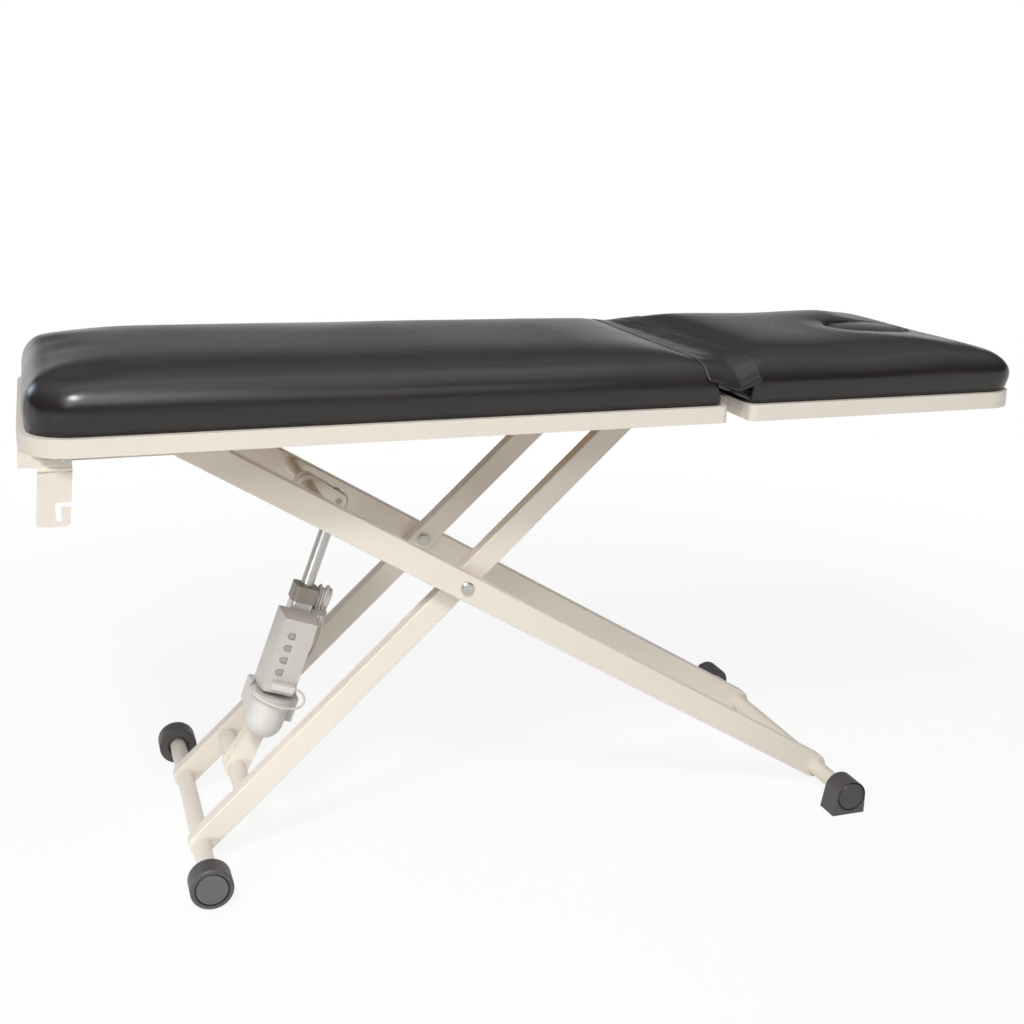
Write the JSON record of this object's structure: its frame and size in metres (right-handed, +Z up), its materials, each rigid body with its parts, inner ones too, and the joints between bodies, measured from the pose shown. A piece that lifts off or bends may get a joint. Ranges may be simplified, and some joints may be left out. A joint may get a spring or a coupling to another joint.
{
  "type": "electric examination table",
  "caption": "Scissor-lift examination couch with a padded flat top, a tilting head section with a face hole, a linear lift actuator, wheels at one end and rubber feet at the other.",
  "frame": {"origin": "on the floor under the middle of the table", "axes": "+X along the table towards the head end, +Y to the far side, +Z up"},
  "size_m": [1.917, 0.6892, 0.971],
  "materials": {
    "cream_paint": "satin",
    "steel": "satin",
    "grey_rubber": "matte",
    "grey_plastic": "matte",
    "black_vinyl": "satin",
    "plywood": "matte",
    "pale_plastic": "matte",
    "aluminium": "satin"
  },
  "bodies": {
    "feet": {"foot_near": "grey_rubber", "foot_far": "grey_rubber", "foot_caps": "grey_plastic"},
    "outer_legs": {"outer_leg_near": "cream_paint", "outer_leg_far": "cream_paint", "foot_tube": "cream_paint", "roller_shaft": "steel", "rod_cross_tube": "cream_paint", "rod_bracket": "cream_paint", "rod_pin": "steel", "pivot_bolts": "steel"},
    "inner_legs": {"inner_leg_near": "cream_paint", "inner_leg_far": "cream_paint", "axle_tube": "cream_paint", "base_cross_tube": "cream_paint", "base_bracket": "cream_paint", "base_pin": "steel", "top_pivot_shaft": "steel", "pivot_bushes": "grey_plastic", "wheel_spindles": "steel"},
    "near_wheel": {"wheel_near": "grey_rubber", "wheel_cap_near": "grey_plastic"},
    "far_wheel": {"wheel_far": "grey_rubber", "wheel_cap_far": "grey_plastic"},
    "near_roller": {"guide_roller_near": "grey_plastic"},
    "far_roller": {"guide_roller_far": "grey_plastic"},
    "main_top": {"main_frame": "cream_paint", "main_board": "plywood", "main_cushion": "black_vinyl", "cross_members": "cream_paint", "slide_channels": "cream_paint", "pivot_plates": "cream_paint", "end_cross_bar": "cream_paint", "roll_leaves": "cream_paint", "roll_leaf_screws": "steel", "main_hinge_arms": "cream_paint", "hinge_pins": "steel", "gap_flap": "black_vinyl"},
    "head_section": {"head_frame": "cream_paint", "head_board": "plywood", "head_cushion": "black_vinyl", "head_hinge_arms": "cream_paint"},
    "face_plug": {"face_plug": "black_vinyl"},
    "near_roll_hook": {"roll_hook_near": "cream_paint"},
    "far_roll_hook": {"roll_hook_far": "cream_paint"},
    "actuator": {"motor_housing": "pale_plastic", "motor": "steel", "lift_screw": "steel", "actuator_tube": "aluminium", "guide_collar": "aluminium", "control_box_back": "pale_plastic", "control_box_cover": "pale_plastic", "lead_plug": "pale_plastic", "lead": "pale_plastic", "hank": "pale_plastic", "hank_tie": "pale_plastic", "lead_tail": "pale_plastic"},
    "rod": {"drive_nut": "grey_plastic", "push_rod": "steel", "rod_end": "steel"}
  },
  "joints": [
    {"name": "lift", "type": "hinge", "parent": "feet", "child": "outer_legs", "pos_m": [0.6372, 0, 0.04], "axis": [0, 1, 0], "range_deg": [-12, 0]},
    {"name": "scissor_cross", "type": "hinge", "parent": "outer_legs", "child": "inner_legs", "pos_m": [-0.1665, 0, 0.5255], "axis": [0, 1, 0], "range_deg": [-0.2, 29.93]},
    {"name": "top_level", "type": "hinge", "parent": "inner_legs", "child": "main_top", "pos_m": [0.17932, 0, 0.85], "axis": [0, 1, 0], "range_deg": [-17.93, 0.2]},
    {"name": "near_wheel_spin", "type": "hinge", "parent": "inner_legs", "child": "near_wheel", "pos_m": [-0.6839, -0.308, 0.04], "axis": [0, 1, 0], "continuous": true},
    {"name": "far_wheel_spin", "type": "hinge", "parent": "inner_legs", "child": "far_wheel", "pos_m": [-0.6839, 0.308, 0.04], "axis": [0, 1, 0], "continuous": true},
    {"name": "near_roller_spin", "type": "hinge", "parent": "outer_legs", "child": "near_roller", "pos_m": [-0.70368, -0.215, 0.85], "axis": [0, 1, 0], "continuous": true},
    {"name": "far_roller_spin", "type": "hinge", "parent": "outer_legs", "child": "far_roller", "pos_m": [-0.70368, 0.215, 0.85], "axis": [0, 1, 0], "continuous": true},
    {"name": "head_tilt", "type": "hinge", "parent": "main_top", "child": "head_section", "pos_m": [0.325, 0, 0.9], "axis": [0, -1, 0], "range_deg": [0, 50], "deforming": ["gap_flap"]},
    {"name": "face_plug_lift", "type": "slide", "parent": "head_section", "child": "face_plug", "axis": [0, 0, 1], "range_m": [0, 0.1]},
    {"name": "near_hook_fold", "type": "hinge", "parent": "main_top", "child": "near_roll_hook", "pos_m": [-0.9295, -0.2915, 0.8304], "axis": [1, 0, 0], "range_deg": [0, 75]},
    {"name": "far_hook_fold", "type": "hinge", "parent": "main_top", "child": "far_roll_hook", "pos_m": [-0.9295, 0.2915, 0.8304], "axis": [-1, 0, 0], "range_deg": [0, 75]},
    {"name": "actuator_swing", "type": "hinge", "parent": "inner_legs", "child": "actuator", "pos_m": [-0.5484, 0, 0.199], "axis": [0, 1, 0], "range_deg": [-1.5, 1.5]},
    {"name": "rod_slide", "type": "slide", "parent": "actuator", "child": "rod", "axis": [0.3419, 0, 0.9397], "range_m": [-0.133, 0.002]}
  ],
  "couplings": [
    {"joint": "scissor_cross", "follows": "lift", "ratio": -2.4688},
    {"joint": "top_level", "follows": "lift", "ratio": 1.4688},
    {"joint": "actuator_swing", "follows": "lift", "ratio": 0.036},
    {"joint": "rod_slide", "follows": "lift", "m_per_rad": 0.62072}
  ]
}
